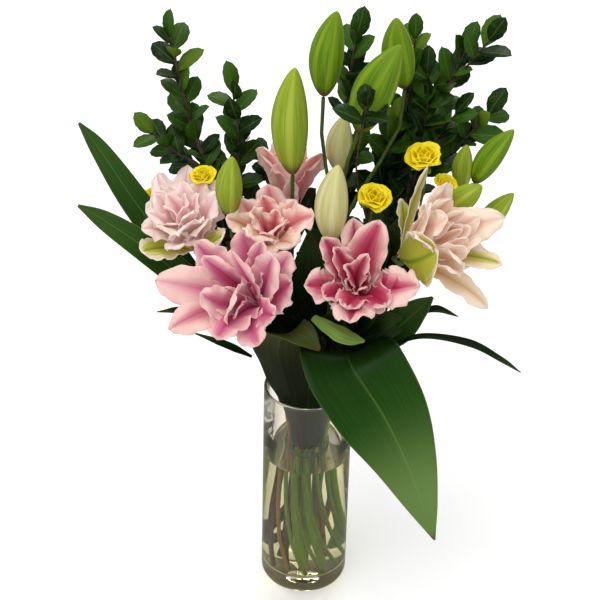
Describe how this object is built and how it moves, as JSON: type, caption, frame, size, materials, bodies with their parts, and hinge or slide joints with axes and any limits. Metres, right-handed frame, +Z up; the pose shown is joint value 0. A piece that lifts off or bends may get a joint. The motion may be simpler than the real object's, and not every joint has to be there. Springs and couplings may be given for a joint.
{
  "type": "lilies in a vase",
  "caption": "Arranged double lilies, lily buds, spray roses, broad leaves and woody foliage standing in water in a tall clear glass cylinder vase",
  "frame": {"origin": "middle of the vase's flat underside", "axes": "+Z up along the vase's axis, -Y the side the flowers face, +X to the right seen from that side"},
  "size_m": [0.4801, 0.2797, 0.709],
  "materials": {
    "clear_glass": "clear polished glass",
    "water": "still clear water",
    "green_tie": "dark green florist's tape",
    "lily_stem": "satin green stem",
    "pink_tepal": "soft matte petal, deep pink centre and pale edge",
    "blush_tepal": "soft matte petal, very pale blush",
    "green_bud": "satin yellow-green bud",
    "yellow_rose": "soft matte yellow petal",
    "woody_stem": "dark thin bark with green leaves",
    "glossy_leaf": "glossy dark green leaf",
    "sprig_leaf": "satin green leaf"
  },
  "bodies": {
    "root": {"glass_vase": "clear_glass", "water": "water", "stem_tie": "green_tie", "lily_stem_left": "lily_stem", "lily_stem_middle": "lily_stem", "lily_stem_front": "lily_stem", "lily_stem_back": "lily_stem", "lily_stem_right": "lily_stem", "lily_left_outer_tepals": "blush_tepal", "lily_left_inner_tepals": "blush_tepal", "lily_front_left_outer_tepals": "pink_tepal", "lily_front_left_inner_tepals": "pink_tepal", "lily_middle_outer_tepals": "pink_tepal", "lily_middle_inner_tepals": "pink_tepal", "lily_front_outer_tepals": "pink_tepal", "lily_front_inner_tepals": "pink_tepal", "lily_right_outer_tepals": "blush_tepal", "lily_right_inner_tepals": "blush_tepal", "lily_back_outer_tepals": "blush_tepal", "lily_back_inner_tepals": "blush_tepal", "bud_top": "green_bud", "bud_middle": "green_bud", "bud_right_top": "green_bud", "bud_far_top": "green_bud", "bud_left": "green_bud", "bud_pale": "green_bud", "bud_right": "green_bud", "bud_right_inner": "green_bud", "bud_right_low": "green_bud", "bud_far_right": "green_bud", "bud_cream": "green_bud", "rose_middle": "yellow_rose", "rose_right_upper": "yellow_rose", "rose_right_lower": "yellow_rose", "rose_left_upper": "yellow_rose", "rose_left_lower": "yellow_rose", "rose_stem_middle": "lily_stem", "rose_stem_right": "lily_stem", "rose_stem_left": "lily_stem", "broad_leaf_upper_left": "glossy_leaf", "broad_leaf_lower_left": "glossy_leaf", "broad_leaf_hanging": "glossy_leaf", "broad_leaf_folded": "glossy_leaf", "broad_leaf_right": "glossy_leaf", "lily_leaf_long": "sprig_leaf", "lily_leaf_right": "sprig_leaf", "lily_leaf_lower_left": "sprig_leaf", "lily_leaf_far_left": "sprig_leaf", "lily_leaf_under_front": "sprig_leaf", "lily_leaf_inner_left": "sprig_leaf", "lily_leaf_inner_middle": "sprig_leaf", "lily_leaf_inner_right": "sprig_leaf", "lily_leaf_inner_back": "sprig_leaf", "lily_leaf_inner_low": "sprig_leaf", "foliage_left_tall": "woody_stem", "foliage_left_low": "woody_stem", "foliage_back": "woody_stem", "foliage_right_tall": "woody_stem", "foliage_right_wide": "woody_stem"}
  },
  "joints": []
}
